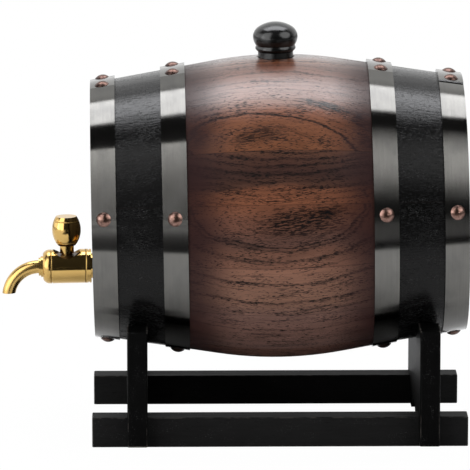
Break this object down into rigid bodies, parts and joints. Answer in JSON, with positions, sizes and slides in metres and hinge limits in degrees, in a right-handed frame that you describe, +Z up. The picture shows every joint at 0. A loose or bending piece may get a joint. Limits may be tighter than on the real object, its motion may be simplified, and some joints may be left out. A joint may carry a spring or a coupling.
{
  "type": "oak cask liquor dispenser",
  "caption": "Small coopered oak cask lying on a black cradle stand, with steel hoops, a brass plug tap with a bent spout in its front head and a turned bung in its top.",
  "frame": {"origin": "on the surface that the stand rests on, at the middle of the overall box", "axes": "+Z up; the cask's axis runs along X with the tap towards -X; Y is across the cask"},
  "size_m": [0.2778, 0.1816, 0.2446],
  "materials": {
    "stave_oak": "oak stained brown in the middle and ebonised between the hoops, satin",
    "head_oak": "ebonised oak, satin",
    "dowel_wood": "bare beech",
    "hoop_steel": "dark brushed steel strip",
    "copper_rivet": "antique copper plate",
    "black_lacquer": "turned wood, gloss black lacquer",
    "tap_brass": "polished brass",
    "zinc_steel": "zinc-plated steel",
    "black_rubber": "matt",
    "stand_wood": "wood painted satin black"
  },
  "bodies": {
    "stand": {"front_cradle": "stand_wood", "rear_cradle": "stand_wood", "near_rail": "stand_wood", "far_rail": "stand_wood", "stand_screws": "zinc_steel"},
    "cask": {"stave_01": "stave_oak", "stave_02": "stave_oak", "stave_03": "stave_oak", "stave_04": "stave_oak", "stave_05": "stave_oak", "stave_06": "stave_oak", "stave_07": "stave_oak", "stave_08": "stave_oak", "stave_09": "stave_oak", "stave_10": "stave_oak", "stave_11": "stave_oak", "stave_12": "stave_oak", "stave_13": "stave_oak", "stave_14": "stave_oak", "stave_15": "stave_oak", "stave_16": "stave_oak", "front_head_board_1": "head_oak", "front_head_board_2": "head_oak", "front_head_board_3": "head_oak", "rear_head_board_1": "head_oak", "rear_head_board_2": "head_oak", "rear_head_board_3": "head_oak", "front_head_dowels": "dowel_wood", "rear_head_dowels": "dowel_wood", "front_chime_hoop": "hoop_steel", "front_quarter_hoop": "hoop_steel", "rear_quarter_hoop": "hoop_steel", "rear_chime_hoop": "hoop_steel", "front_chime_rivets": "copper_rivet", "front_quarter_rivets": "copper_rivet", "rear_quarter_rivets": "copper_rivet", "rear_chime_rivets": "copper_rivet", "tap_body": "tap_brass", "tap_gasket": "black_rubber", "tap_washer": "zinc_steel", "tap_nut": "tap_brass", "spout_nut": "tap_brass", "tap_spout": "tap_brass", "gland_ring": "tap_brass", "stem_seal": "black_rubber"},
    "bung": {"bung": "black_lacquer"},
    "tap_key": {"tap_key": "tap_brass", "valve_plug": "tap_brass"}
  },
  "joints": [
    {"name": "cask_lift", "type": "slide", "parent": "stand", "child": "cask", "axis": [0, 0, 1], "range_m": [0, 0.06]},
    {"name": "bung_pull", "type": "slide", "parent": "cask", "child": "bung", "axis": [-0.0175, 0, 0.9998], "range_m": [0, 0.03]},
    {"name": "tap_key_turn", "type": "hinge", "parent": "cask", "child": "tap_key", "pos_m": [-0.0998, 0, 0.09659], "axis": [-0.0175, 0, 0.9998], "range_deg": [0, 90]}
  ]
}
